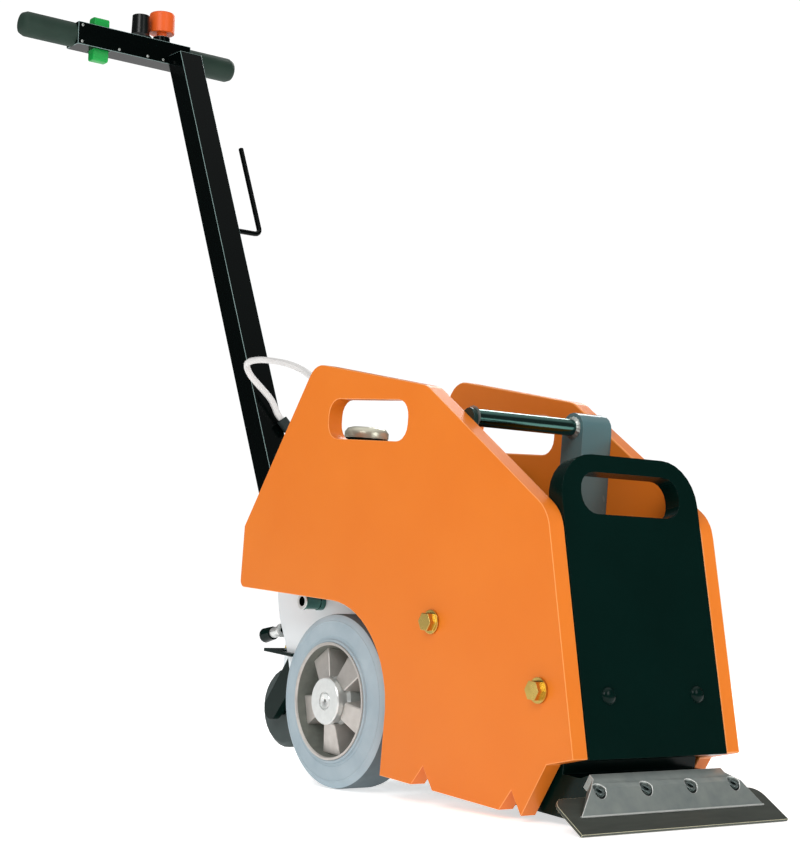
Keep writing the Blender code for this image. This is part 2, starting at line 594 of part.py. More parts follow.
def make_blade_head():
    holes = screw_clearance()
    half, corner = BLADE_HALF_WIDTH, 0.014
    outline = rounded([(-half, 0, 0), (half, 0, 0), (half, BLADE_DEPTH, corner), (-half, BLADE_DEPTH, corner)])
    blade = add("blade", prism(outline, 0, BLADE_THICKNESS, along_z), STEEL, BLADE)
    boolean(blade, holes)

    low = BLADE_THICKNESS + GAP
    high = low + CLAMP_THICKNESS
    rear = CLAMP_FRONT + CLAMP_DEPTH
    profile = [(CLAMP_FRONT, low), (rear, low), (rear, high), (CLAMP_FRONT + CLAMP_BEVEL, high - 0.001)]
    clamp = add("blade_clamp", prism(profile, -CLAMP_HALF_WIDTH, CLAMP_HALF_WIDTH), STEEL, BLADE)
    slope = CLAMP_HALF_WIDTH - CLAMP_TOP_HALF_WIDTH
    plan = [(-CLAMP_HALF_WIDTH, CLAMP_FRONT - 0.001), (CLAMP_HALF_WIDTH, CLAMP_FRONT - 0.001),
            (CLAMP_TOP_HALF_WIDTH, CLAMP_FRONT + slope), (CLAMP_TOP_HALF_WIDTH, rear + 0.01),
            (-CLAMP_TOP_HALF_WIDTH, rear + 0.01), (-CLAMP_TOP_HALF_WIDTH, CLAMP_FRONT + slope)]
    boolean(clamp, cutter("cut_clamp_ends", prism(plan, -0.01, 0.05, along_z), BLADE), "INTERSECT")
    boolean(clamp, holes)

    seat = BLADE_THICKNESS + 0.005 + GAP
    for number, x in enumerate(clamp_screw_xs(), start=1):
        rings = [(-0.008, CLAMP_SCREW_RADIUS), (seat, CLAMP_SCREW_RADIUS), (seat, CLAMP_HEAD_RADIUS),
                 (seat + 0.008, CLAMP_HEAD_RADIUS)]
        add(f"clamp_screw_{number}", turned(rings, 16), STEEL, BLADE, (x, CLAMP_SCREW_BACK, 0), (0, -90, 0))

    behind = BLADE_DEPTH + GAP
    top = [from_blade(0.030, -GAP), from_blade(behind, -GAP), from_blade(behind, BLADE_THICKNESS),
           from_blade(rear + GAP, BLADE_THICKNESS), from_blade(rear + GAP, high - 0.002)]
    wall_front, wall_top = -0.380, -0.004
    top += [(top[-1][0] + 0.010, HOLDER_TOP), (wall_front, HOLDER_TOP), (wall_front, wall_top), (wall_front + 0.025, wall_top), (wall_front + 0.025, HOLDER_TOP)]
    under = [(-0.405, HOLDER_BOTTOM), from_blade(0.034, -0.010)]
    holder = add("blade_holder", prism(top + [(HOLDER_REAR, HOLDER_TOP), (HOLDER_REAR, HOLDER_BOTTOM)] + under,
                                       -HOLDER_HALF_WIDTH, HOLDER_HALF_WIDTH), BLACK, BODY)
    lip = top[:2] + [from_blade(behind, -0.006)] + under[1:]
    boolean(holder, cutter("add_holder_lip", prism(lip, -HOLDER_LIP_HALF_WIDTH, HOLDER_LIP_HALF_WIDTH), BODY),
            "UNION")
    room = ECCENTRIC_RADIUS + 2 * ECCENTRIC_THROW + 0.001
    centre_y, centre_z = ECCENTRIC_SPOT
    prong, base, head = 0.008, HOLDER_TOP - 0.005, centre_z + 0.012
    slot_floor = centre_z - ECCENTRIC_RADIUS - 2 * ECCENTRIC_THROW
    front, rear_side = centre_y - room, centre_y + room
    yoke = [(front - prong, base), (rear_side + prong, base), (rear_side + prong, head), (rear_side, head),
            (rear_side, slot_floor), (front, slot_floor), (front, head), (front - prong, head)]
    boolean(holder, cutter("add_yoke", prism(yoke, -0.007, 0.007), BODY), "UNION")
    boolean(holder, holes)

    for side, sign in (("left", -1), ("right", 1)):
        low, high = HOLDER_TOP + GAP, 0.005 - GAP
        add("rubber_mount_" + side, rod(0, high - low, 0.014), RUBBER, BODY,
            (sign * 0.075, -0.320, low), (0, -90, 0))


# ---- mast and handlebar ---------------------------------------------------------------------------
def mast_height(above_floor, across):
    """Length up the mast to a level cut, for a line this far behind the mast's middle line."""
    lean = math.radians(MAST_LEAN)
    return (above_floor - MAST_PIVOT[1] + across * math.sin(lean)) / math.cos(lean)


def make_mast():
    half = MAST_SIZE / 2
    under_box = BOX_SPOT[1] - BOX_HEIGHT / 2 - GAP
    before_box = BOX_SPOT[0] - BOX_DEPTH / 2 - GAP - MAST_PIVOT[0]
    lean = math.radians(MAST_LEAN)

    def across_at(y, above_floor):
        return y * math.cos(lean) - (above_floor - MAST_PIVOT[1]) * math.sin(lean)

    step_low, step_high = across_at(before_box, under_box), across_at(before_box, MAST_TOP)
    outline = [(-half, -MAST_FOOT), (half, -MAST_FOOT), (half, mast_height(under_box, half))]
    if step_low < half:
        outline.append((step_low, mast_height(under_box, step_low)))
    outline += [(min(step_high, half), mast_height(MAST_TOP, min(step_high, half))),
                (-half, mast_height(MAST_TOP, -half))]
    mast = add("mast_tube", prism(outline, MAST_X, MAST_X + MAST_SIZE), BLACK, MAST)
    inside = half - MAST_WALL
    core = box((MAST_X + MAST_WALL, MAST_X + MAST_SIZE - MAST_WALL), (-inside, inside),
               (-MAST_FOOT - 0.01, mast_height(under_box, 0) - 0.03))
    boolean(mast, cutter("cut_mast_core", core, MAST))
    boolean(mast, cutter("cut_pivot", rod(MAST_X - 0.02, MAST_X + MAST_SIZE + 0.02, BOLT_RADIUS + 2 * GAP), MAST))
    add("mast_gland", rod(0, GLAND_LENGTH, GLAND_RADIUS), RUBBER, MAST,
        (GLAND_X, -half - GAP - GLAND_RADIUS, GLAND_HEIGHT), (0, -90 - GLAND_SLANT, 0))


def make_mast_bracket():
    """A fork on the right cheek plate that holds the mast's foot, and its pivot bolt."""
    turn = math.radians(-PITCH)
    rel_y, rel_z = MAST_PIVOT[0], MAST_PIVOT[1] - WHEEL_RADIUS
    spot = (rel_y * math.cos(turn) - rel_z * math.sin(turn), rel_y * math.sin(turn) + rel_z * math.cos(turn))
    inner, outer, ear = MAST_X - GAP, MAST_X + MAST_SIZE + GAP, 0.0062
    web_front, web_rear, rear = 0.228, 0.240, spot[0] + 0.022
    plan = [(CHEEK_OUTER_X + GAP, 0.112), (CHEEK_OUTER_X + GAP, rear), (inner, rear), (inner, web_rear),
            (outer, web_rear), (outer, rear), (outer + ear, rear), (outer + ear, web_front),
            (inner, web_front), (inner, 0.112)]
    bracket = add("mast_bracket", prism(plan, spot[1] - 0.028, spot[1] + 0.030, along_z), PALE, BODY)
    boolean(bracket, cutter("cut_bracket_bolt", rod(0.03, 0.13, BOLT_RADIUS + GAP), BODY, (0, *spot)))
    head, head_radius = 0.008, 0.0105
    left, right = CHEEK_OUTER_X, outer + ear + GAP
    rings = [(left - head, head_radius, "hex"), (left, head_radius, "hex"), (left, BOLT_RADIUS),
             (right, BOLT_RADIUS), (right, head_radius, "hex"), (right + head, head_radius, "hex")]
    add("mast_pivot_bolt", turned(rings, 24), ZINC, BODY, (0, *spot))


def make_cord_hook():
    curve = bpy.data.curves.new("hook", "CURVE")
    curve.dimensions = "3D"
    curve.bevel_depth = HOOK_RADIUS
    curve.bevel_resolution = 2
    curve.use_fill_caps = True
    start, corner, bend = MAST_X + MAST_SIZE + GAP, MAST_X + MAST_SIZE + HOOK_REACH, 0.010
    across = HOOK_RADIUS + 0.0006 - MAST_SIZE / 2
    turn = arc((corner - bend, HOOK_HEIGHT + bend), bend, -90, 0, 4)
    route = [(start, HOOK_HEIGHT), *turn, (corner, HOOK_HEIGHT + HOOK_LENGTH)]
    line = curve.splines.new("POLY")
    line.points.add(len(route) - 1)
    for point, (x, z) in zip(line.points, route):
        point.co = (x, across, z, 1)
    hook = bpy.data.objects.new("cord_hook", curve)
    hook.parent = MAST
    curve.materials.append(BLACK)
    bpy.context.scene.collection.objects.link(hook)


def make_handlebar():
    top = BOX_HEIGHT / 2
    deep = BOX_DEPTH / 2
    block = add("switch_box", box((BOX_LEFT, BOX_RIGHT), (-deep, deep), (-top, top)), BLACK, HEAD)
    collar = rod(-0.002, COLLAR_HEIGHT, COLLAR_RADIUS)
    boolean(block, cutter("add_collar", collar, HEAD, (KNOB_X, 0, top), (0, -90, 0)), "UNION")
    stem_hole = rod(0.0015, COLLAR_HEIGHT + 0.01, STEM_RADIUS + GAP)
    boolean(block, cutter("cut_stem", stem_hole, HEAD, (KNOB_X, 0, top), (0, -90, 0)))
    inside = box((BOX_LEFT + BOX_WALL, 0.034), (BOX_WALL - deep, deep - BOX_WALL),
                 (BOX_WALL - top, top - BOX_WALL))
    boolean(block, cutter("cut_box_inside", inside, HEAD))
    half_x, half_y, half_z = PADDLE_HALF
    slot = box((PADDLE_X - half_x - 0.0005, PADDLE_X + half_x + 0.0005),
               (-half_y - PADDLE_ROOM, half_y + PADDLE_ROOM), (-top - 0.01, top + 0.01))
    boolean(block, cutter("cut_paddle_slot", slot, HEAD))
    add("start_paddle", prism(rectangle(-half_y, half_y, -half_z, half_z, 0.004, 3), -half_x, half_x),
        GREEN, HEAD, (PADDLE_X, 0, 0))

    under = KNOB_TRAVEL + 0.0010
    rings = [(-COLLAR_HEIGHT + 0.0015 + KNOB_TRAVEL + GAP, STEM_RADIUS), (under, STEM_RADIUS), (under, KNOB_RADIUS),
             (KNOB_HEIGHT - 0.002, KNOB_RADIUS), (KNOB_HEIGHT, KNOB_RADIUS - 0.002)]
    add("stop_knob", turned(rings, 28), KNOB, HEAD, (KNOB_X, 0, top + COLLAR_HEIGHT), (0, -90, 0))
    rings = [(GAP, 0.0185), (0.003, 0.0185), (0.007, 0.0145), (0.038, 0.0135)]
    add("mains_inlet", turned(rings, 20), BLACK, HEAD, (INLET_X, 0, top), (0, -90, 0))

    for side, sign in (("left", -1), ("right", 1)):
        turn = (0, 0, 0) if sign > 0 else (0, 0, 180)
        start, tip = (BOX_RIGHT if sign > 0 else -BOX_LEFT) + GAP, GRIP_END - 0.006
        add("handle_stub_" + side, rod(start, tip, HANDLE_RADIUS), STEEL, HEAD, (0, 0, 0), turn)
        soft, bore = 0.010, HANDLE_RADIUS + GAP
        rings = [(start, GRIP_RADIUS), (GRIP_END - soft, GRIP_RADIUS), (GRIP_END - soft * 0.3, GRIP_RADIUS - soft * 0.3),
                 (GRIP_END, GRIP_RADIUS - soft)]
        grip = add("grip_" + side, turned(rings, 24), RUBBER, HEAD, (0, 0, 0), turn)
        boolean(grip, cutter("cut_grip_" + side, rod(start - 0.01, tip + GAP, bore), HEAD, (0, 0, 0), turn))


# ---- transport wheel, plunger and cable -----------------------------------------------------------
def make_transport_wheel():
    """A swing arm with its foot bar and wheel, hung from a stub shaft in the left cheek plate."""
    arm = add("swing_arm", prism(loop_outline(SWING_SPOT, 0.018, SWING_AXLE, 0.014, 8), *SWING_X), BLACK, BODY)
    pin_radius = 0.008
    pin = rod(SWING_X[1] - 0.002, TRANSPORT_HALF_WIDTH + 0.004, pin_radius)
    boolean(arm, cutter("add_wheel_pin", pin, BODY, (0, *SWING_AXLE)), "UNION")
    inside, outside, across = SWING_X[1] - 0.002, -CHEEK_OUTER_X - 0.0015, 0.040
    pedal = [(across, 0.160), (across, 0.222), (outside - 0.008, 0.222), (outside - 0.008, 0.160),
             (outside, 0.160), (outside, 0.203), (inside, 0.203), (inside, 0.160)]
    boolean(arm, cutter("add_foot_bar", prism(pedal, 0.0315, 0.0355, along_z), BODY), "UNION")
    boolean(arm, cutter("cut_swing_bore", rod(-0.06, -0.02, STUB_RADIUS + GAP), BODY, (0, *SWING_SPOT)))
    rings = [(-STUB_END, 0.0105), (-STUB_END + 0.006, 0.0105), (-STUB_END + 0.006, STUB_RADIUS),
             (SWING_X[1] + 0.001, STUB_RADIUS)]
    add("stub_shaft", turned(rings, 20), STEEL, BODY, (0, *SWING_SPOT))
    half, bore = TRANSPORT_HALF_WIDTH, pin_radius + GAP
    rings = [(-half, bore), (half, bore), (half, TRANSPORT_RADIUS - 0.006), (half - 0.006, TRANSPORT_RADIUS),
             (0.006 - half, TRANSPORT_RADIUS), (-half, TRANSPORT_RADIUS - 0.006)]
    add("transport_wheel", turned(rings, 28, closed=True), RUBBER, BODY, (0, *SWING_AXLE))


def make_plunger():
    """The index plunger that locks the swing arm: a flanged tube with a sprung pin and a knob.

    It stands square off the slanting rear edge of the left cheek plate."""
    length, radius, pin = 0.021, 0.0068, 0.003
    centre_x = -(CHEEK_X + CHEEK_OUTER_X) / 2
    where, turn = (centre_x, *PLUNGER_SPOT), (0, PLUNGER_SLOPE, 90)
    offset, flange, flange_radius = 0.0008, 0.0035, 0.0088
    rings = [(offset, pin + GAP), (offset + length, pin + GAP), (offset + length, radius),
             (offset + flange, radius), (offset + flange, flange_radius), (offset, flange_radius)]
    add("plunger_body", turned(rings, 16, closed=True), STEEL, BODY, where, turn)
    start = offset + length + GAP
    rings = [(offset + 0.0005, pin), (start, pin), (start, 0.0085), (start + 0.019, 0.0095),
             (start + 0.021, 0.007)]
    add("plunger_knob", turned(rings, 16), BLACK, BODY, where, turn)


def smooth_route(points, steps=6):
    """A smooth curve through the points, as a list of its own points."""
    padded = [points[0], *points, points[-1]]
    route = []
    for i in range(len(points) - 1):
        a, b, c, d = padded[i:i + 4]
        for k in range(steps):
            t = k / steps
            route.append(tuple(0.5 * (2 * q + (r - p) * t + (2 * p - 5 * q + 4 * r - s) * t ** 2
                                      + (3 * q - p - 3 * r + s) * t ** 3) for p, q, r, s in zip(a, b, c, d)))
    route.append(points[-1])
    return route


def make_mast_cable():
    """The cable that leaves the mast, arches over in front of it and drops into the electrics box.

    Its points are behind the axle and above the floor, as the mast's are."""
    points = [(0.0920, 0.4228, 0.4705), (0.0868, 0.4259, 0.4785), (0.0800, 0.4305, 0.4960),
              (0.0686, 0.4379, 0.5121), (0.0527, 0.4435, 0.5295), (0.0425, 0.4405, 0.5425),
              (0.0360, 0.4240, 0.5475), (0.0280, 0.3830, 0.5455), (0.0200, 0.3330, 0.5380),
              (0.0120, 0.2840, 0.5280), (0.0040, 0.2360, 0.5130), (-0.0120, 0.1900, 0.4940),
              (-0.0340, 0.1450, 0.4660), (-0.0520, 0.1120, 0.4400), (-0.0598, 0.0965, 0.4220),
              (-0.0600, 0.0950, 0.4085)]
    curve = bpy.data.curves.new("cable", "CURVE")
    curve.dimensions = "3D"
    curve.bevel_depth = CABLE_RADIUS
    curve.bevel_resolution = 2
    curve.use_fill_caps = True
    route = smooth_route(points, 3)
    line = curve.splines.new("POLY")
    line.points.add(len(route) - 1)
    for point, (x, y, z) in zip(line.points, route):
        point.co = (x, y, z, 1)
    cable = bpy.data.objects.new("mast_cable", curve)
    cable.location = (0, AXLE_Y, 0)
    curve.materials.append(CABLE)
    bpy.context.scene.collection.objects.link(cable)


side_plates = make_side_plates()
side_arms = make_arms()
make_plate_bolts(side_plates, side_arms)
make_front_weight(side_arms)
make_cheeks()
make_blade_drive()
make_wheel_drive()
make_wheels()
make_electrics()
make_blade_head()
make_mast()
make_mast_bracket()
make_cord_hook()
make_handlebar()
make_transport_wheel()
make_plunger()
make_mast_cable()
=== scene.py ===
"""The looks of a walk-behind floor stripper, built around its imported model."""
import json
import math

import bmesh
import bpy
from mathutils import Euler, Matrix, Vector


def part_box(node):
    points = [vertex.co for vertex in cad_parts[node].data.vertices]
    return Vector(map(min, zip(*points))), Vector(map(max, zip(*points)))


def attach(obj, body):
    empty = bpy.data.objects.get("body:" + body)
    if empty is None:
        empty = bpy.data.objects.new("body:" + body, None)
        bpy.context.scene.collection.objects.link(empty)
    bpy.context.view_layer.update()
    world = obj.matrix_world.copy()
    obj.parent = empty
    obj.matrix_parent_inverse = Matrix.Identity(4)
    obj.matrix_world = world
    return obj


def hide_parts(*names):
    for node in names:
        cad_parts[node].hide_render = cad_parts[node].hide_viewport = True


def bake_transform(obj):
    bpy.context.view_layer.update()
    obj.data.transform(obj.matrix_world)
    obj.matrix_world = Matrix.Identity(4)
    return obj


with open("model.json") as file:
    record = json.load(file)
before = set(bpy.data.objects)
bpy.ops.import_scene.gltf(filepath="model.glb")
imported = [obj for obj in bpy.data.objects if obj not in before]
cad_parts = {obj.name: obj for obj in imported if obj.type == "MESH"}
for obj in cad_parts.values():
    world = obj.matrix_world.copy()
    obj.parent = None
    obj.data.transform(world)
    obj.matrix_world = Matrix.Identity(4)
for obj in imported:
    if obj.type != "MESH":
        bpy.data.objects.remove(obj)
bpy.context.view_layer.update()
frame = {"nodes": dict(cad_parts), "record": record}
MM = 0.001

# ---- camera, floor and light ---------------------------------------------------------------------
# A long lens held low, level with the top of the drive wheels and looking slightly up, from the
# front left of the machine. The studio is plain white, with three square soft lights: a strong one
# at the front left, a weaker one at the front and one behind on the right for the rims.
axle_low, axle_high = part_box("drive_axle")
AXLE_Y = (axle_low[1] + axle_high[1]) / 2
AXLE_Z = (axle_low[2] + axle_high[2]) / 2
SENSOR_WIDTH, LENS = 36.0, 81.11
CAMERA_X, CAMERA_BEFORE_AXLE, CAMERA_Z = -1.3244, 1.7082, 0.2131
CAMERA_ANGLES = (-37.4, -5.6, 1.4)  # round the machine, above level, and roll
camera_data = bpy.data.cameras.new("camera")
camera_data.sensor_fit, camera_data.sensor_width = "HORIZONTAL", SENSOR_WIDTH
camera_data.lens = LENS
camera = bpy.data.objects.new("camera", camera_data)
camera.location = (CAMERA_X, AXLE_Y - CAMERA_BEFORE_AXLE, CAMERA_Z)
azimuth, elevation, roll = (math.radians(angle) for angle in CAMERA_ANGLES)
right = Vector((math.cos(azimuth), math.sin(azimuth), 0))
back = Vector((math.sin(azimuth) * math.cos(elevation), -math.cos(azimuth) * math.cos(elevation),
               math.sin(elevation)))
up = back.cross(right)
turned_right = right * math.cos(roll) + up * math.sin(roll)
turned_up = up * math.cos(roll) - right * math.sin(roll)
camera.rotation_euler = Matrix((turned_right, turned_up, back)).transposed().to_euler()
bpy.context.scene.collection.objects.link(camera)
bpy.context.scene.camera = camera
bpy.context.scene.view_settings.view_transform = "Standard"


def linear(code):
    """A six-figure sRGB hex code as linear RGBA."""
    parts = [int(code[i:i + 2], 16) / 255 for i in (0, 2, 4)]
    return (*[p / 12.92 if p <= 0.04045 else ((p + 0.055) / 1.055) ** 2.4 for p in parts], 1.0)


def add_node(tree, kind, sockets=None, **settings):
    """Add one shader node: its settings, and each input's value or the output that feeds it."""
    made = tree.nodes.new("ShaderNode" + kind)
    for name, value in settings.items():
        setattr(made, name, value)
    for name, value in (sockets or {}).items():
        if isinstance(value, bpy.types.NodeSocket):
            tree.links.new(value, made.inputs[name])
        else:
            made.inputs[name].default_value = value
    return made


# The room lights every surface evenly, but in a gloss it is a dark wall under a bright ceiling, so
# that gloss paint shows a dark body with a pale top edge.
ROOM_LIGHT, DARK_WALL, BRIGHT_CEILING, SEEN_WHITE = 0.50, 0.07, 1.3, 1.05
CEILING_START, CEILING_FULL = 0.55, 0.97
world = bpy.data.worlds.new("studio")
bpy.context.scene.world = world
world.use_nodes = True
sky = world.node_tree
sky.nodes.clear()
ray = add_node(sky, "LightPath")
direction = add_node(sky, "TexCoord")
height = add_node(sky, "SeparateXYZ", {"Vector": direction.outputs["Generated"]})
ceiling = add_node(sky, "MapRange", {"Value": height.outputs["Z"], "From Min": CEILING_START,
                                     "From Max": CEILING_FULL, "To Min": DARK_WALL,
                                     "To Max": BRIGHT_CEILING})
in_gloss = add_node(sky, "Mix", {"Factor": ray.outputs["Is Glossy Ray"], "A": ROOM_LIGHT,
                                 "B": ceiling.outputs["Result"]})
as_seen = add_node(sky, "Mix", {"Factor": ray.outputs["Is Camera Ray"],
                                "A": in_gloss.outputs["Result"], "B": SEEN_WHITE})
glow = add_node(sky, "Background", {"Color": (1, 1, 1, 1), "Strength": as_seen.outputs["Result"]})
add_node(sky, "OutputWorld", {"Surface": glow.outputs["Background"]})


def soft_light(name, place, aim, size, power):
    """A square area light that faces a point on the machine."""
    data = bpy.data.lights.new(name, "AREA")
    data.size, data.energy = size, power
    light = bpy.data.objects.new(name, data)
    light.location = place
    light.rotation_euler = (Vector(place) - Vector(aim)).to_track_quat("Z", "Y").to_euler()
    bpy.context.scene.collection.objects.link(light)


soft_light("key_light", (-2.6, -1.6, 2.2), (0, 0, 0.3), 1.4, 42)
soft_light("front_light", (0.6, -3.0, 1.6), (0, 0, 0.3), 1.2, 22)
soft_light("rim_light", (2.2, 1.6, 2.4), (0, 0, 0.4), 1.0, 26)


def start_material(name):
    """A new material whose node tree is empty."""
    made = bpy.data.materials.new(name)
    made.use_nodes = True
    tree = made.node_tree
    tree.nodes.clear()
    return made, tree


FLOOR_REACH, FLOOR_Z = 30.0, -0.5 * MM
floor_mesh = bpy.data.meshes.new("floor")
floor_corners = [(x * FLOOR_REACH, y * FLOOR_REACH, FLOOR_Z)
                 for x, y in ((-1, -1), (1, -1), (1, 1), (-1, 1))]
floor_mesh.from_pydata(floor_corners, [], [(0, 1, 2, 3)])
floor = bpy.data.objects.new("floor", floor_mesh)
bpy.context.scene.collection.objects.link(floor)
# Matt paper, lit a little from within so that it stays white right up to the machine.
floor_paper, tree = start_material("white studio paper")
paper = add_node(tree, "BsdfPrincipled", {
    "Base Color": linear("FAFAFA"), "Roughness": 0.9, "Specular IOR Level": 0.1,
    "Emission Color": linear("FFFFFF"), "Emission Strength": 0.62})
add_node(tree, "OutputMaterial", {"Surface": paper.outputs["BSDF"]})
floor_mesh.materials.append(floor_paper)


# ---- side weights --------------------------------------------------------------------------------
# Two 20 mm steel plates cut by flame or laser, edges eased by grinding, then sprayed with a gloss
# orange enamel. They are bolted to the inner arms, one on each side.
def link_piece(name, mesh, paint, body, slot, *stands_for):
    """Put a finished mesh in the scene, riding on its body."""
    piece = bpy.data.objects.new(name, mesh)
    mesh.materials.clear()
    mesh.materials.append(paint)
    bpy.context.scene.collection.objects.link(piece)
    if stands_for:
        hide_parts(*stands_for)
    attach(piece, body)
    return piece


def body_of_node(node):
    """The name of the moving body that a node belongs to."""
    for body, members in frame["record"]["behaviour"]["bodies"].items():
        if node in members:
            return body


def ease_edges(node, paint, slot, width=0.0008, segments=3, sharp=40, edge_highlight_paint=None):
    """The node's own solid with its edges rounded over as the real piece's are.

    The rounding may have a paler finish of its own, which is a painted highlight along the edge."""
    mesh = frame["nodes"][node].data.copy()
    bm = bmesh.new()
    bm.from_mesh(mesh)
    bmesh.ops.remove_doubles(bm, verts=bm.verts, dist=1e-6)
    bmesh.ops.dissolve_limit(bm, angle_limit=math.radians(0.5), verts=bm.verts, edges=bm.edges)
    for face in bm.faces:
        face.smooth = True
    for edge in bm.edges:
        edge.smooth = edge.calc_face_angle(0) < math.radians(sharp)
    bm.to_mesh(mesh)
    bm.free()
    piece = link_piece(node + "_finished", mesh, paint, body_of_node(node), slot, node)
    bevel = piece.modifiers.new("eased edges", "BEVEL")
    bevel.width, bevel.segments = width, segments
    bevel.limit_method, bevel.angle_limit = "ANGLE", math.radians(sharp)
    bevel.harden_normals = True
    if edge_highlight_paint:
        mesh.materials.append(edge_highlight_paint)
        bevel.material = 1
    return piece


CLOUD_WIDTH = 111.11 * MM    # the faint clouds that passes of a spray gun leave
PEEL_WIDTH = 2.2222 * MM     # orange peel in sprayed enamel is 1 to 3 mm across
HANDLED_WIDTH = 16.667 * MM  # patches rubbed duller by hands and cloths


def enamel(name, colour, shade, roughness, specular, peel):
    """Sprayed gloss enamel: an even colour with faint clouding and a fine orange-peel surface.

    To the eye it is smooth and deep, and only its highlights show the peel and the duller patches."""
    made, tree = start_material(name)
    place = add_node(tree, "TexCoord").outputs["Object"]
    cloud = add_node(tree, "TexNoise", {"Vector": place, "Scale": 1 / CLOUD_WIDTH, "Detail": 3.0})
    mix = add_node(tree, "Mix", {"Factor": cloud.outputs["Fac"], 6: linear(colour), 7: linear(shade)},
                   data_type="RGBA")
    grain = add_node(tree, "TexNoise", {"Vector": place, "Scale": 1 / PEEL_WIDTH, "Detail": 1.0})
    bump = add_node(tree, "Bump", {"Height": grain.outputs["Fac"], "Strength": peel, "Distance": 0.3 * MM})
    wear = add_node(tree, "TexNoise", {"Vector": place, "Scale": 1 / HANDLED_WIDTH, "Detail": 4.0})
    gloss = add_node(tree, "MapRange", {"Value": wear.outputs["Fac"], "To Min": roughness * 0.85,
                                        "To Max": roughness * 1.2})
    shader = add_node(tree, "BsdfPrincipled", {
        "Base Color": mix.outputs[2], "Roughness": gloss.outputs["Result"],
        "Specular IOR Level": specular, "Normal": bump.outputs["Normal"]})
    add_node(tree, "OutputMaterial", {"Surface": shader.outputs["BSDF"]})
    return made


ORANGE_ENAMEL = enamel("orange enamel", "E27C26", "DB711D", 0.34, 0.22, 0.12)
# The paler orange on the rounded edges of the side weights is a painted highlight.
ORANGE_PAINTED_HIGHLIGHT = enamel("orange enamel with a painted edge highlight", "F4A05A", "EE8C40", 0.3, 0.4, 0.05)
for side in ("left", "right"):
    ease_edges("side_plate_" + side, ORANGE_ENAMEL, "orange_paint", 0.0016, 4, 40, ORANGE_PAINTED_HIGHLIGHT)

# ---- front weight --------------------------------------------------------------------------------
# A third 20 mm steel plate with a hand slot of its own, sprayed gloss black, which leans back
# between the side weights. Two button-head screws hold it.
BLACK_ENAMEL = enamel("black enamel", "031C18", "021410", 0.2, 0.1, 0.06)
# The paler green-black on the rounded edges of the black pieces is a painted highlight.
BLACK_PAINTED_HIGHLIGHT = enamel("black enamel with a painted edge highlight", "2C4743", "1A3330", 0.2, 0.5, 0.05)
ease_edges("front_weight_plate", BLACK_ENAMEL, "black_paint", 0.0018, 4, 40, BLACK_PAINTED_HIGHLIGHT)
for side in ("left", "right"):
    ease_edges("front_plate_screw_" + side, BLACK_ENAMEL, "black_paint", 0.0005, 2, 40, BLACK_PAINTED_HIGHLIGHT)

# ---- arms, cheeks and chassis --------------------------------------------------------------------
# Fabricated from thick plate: two upright arms joined by a drawn steel tube that is welded in, and
# two cheek plates that carry the axle. The inside work is painted pale grey.
PALE_ENAMEL = enamel("pale grey enamel", "F0F6F8", "E4ECEF", 0.4, 0.3, 0.1)
ARM_ENAMEL = enamel("smoked teal enamel", "4C7880", "5C6B69", 0.25, 0.5, 0.1)
# The pale rounded edges of the right arm are a painted highlight.
ARM_PAINTED_HIGHLIGHT = enamel("smoked enamel with a painted edge highlight", "A9C3C6", "8FA6A8", 0.25, 0.5, 0.05)
ease_edges("inner_arm_right", ARM_ENAMEL, "pale_paint", 0.0010, 3, 30, ARM_PAINTED_HIGHLIGHT)
# The left arm is painted dark so that it reads as the shadow line at the tube's left end: painted shade.
TUBE_END_PAINTED_SHADE = enamel("dark paint for painted shade at the tube end", "14332E", "0C2420", 0.25, 0.4, 0.1)
ease_edges("inner_arm_left", TUBE_END_PAINTED_SHADE, "pale_paint", 0.001)
for side in ("left", "right"):
    ease_edges("cheek_plate_" + side, PALE_ENAMEL, "pale_paint", 0.0006, 2)
ease_edges("mast_bracket", PALE_ENAMEL, "pale_paint", 0.0006, 2)
for node in ("floor_pan", "motor_bridge", "main_motor", "gear_motor", "electrics_box", "swing_arm"):
    ease_edges(node, BLACK_ENAMEL, "black_paint", 0.0008, 2)


def metal(name, colour, shade, roughness, grain_mm, stretch, metallic=1.0):
    """A bare metal: a faint brushed, rolled or cast grain in its colour and its gloss.

    Real grain is a fraction of a millimetre, too fine to show here, so it is drawn as coarse as
    grain_mm says. The eye sees soft streaks or mottling in the reflections."""
    made, tree = start_material(name)
    place = add_node(tree, "TexCoord").outputs["Object"]
    drawn = add_node(tree, "Mapping", {"Vector": place, "Scale": stretch})
    grain = add_node(tree, "TexNoise", {"Vector": drawn.outputs["Vector"],
                                        "Scale": 1 / (grain_mm * MM), "Detail": 3.0})
    mix = add_node(tree, "Mix", {"Factor": grain.outputs["Fac"], 6: linear(colour), 7: linear(shade)},
                   data_type="RGBA")
    gloss = add_node(tree, "MapRange", {"Value": grain.outputs["Fac"], "To Min": roughness * 0.8,
                                        "To Max": roughness * 1.25})
    bump = add_node(tree, "Bump", {"Height": grain.outputs["Fac"], "Strength": 0.15, "Distance": 0.0002})
    shader = add_node(tree, "BsdfPrincipled", {
        "Base Color": mix.outputs[2], "Roughness": gloss.outputs["Result"], "Metallic": metallic,
        "Normal": bump.outputs["Normal"]})
    add_node(tree, "OutputMaterial", {"Surface": shader.outputs["BSDF"]})
    return made


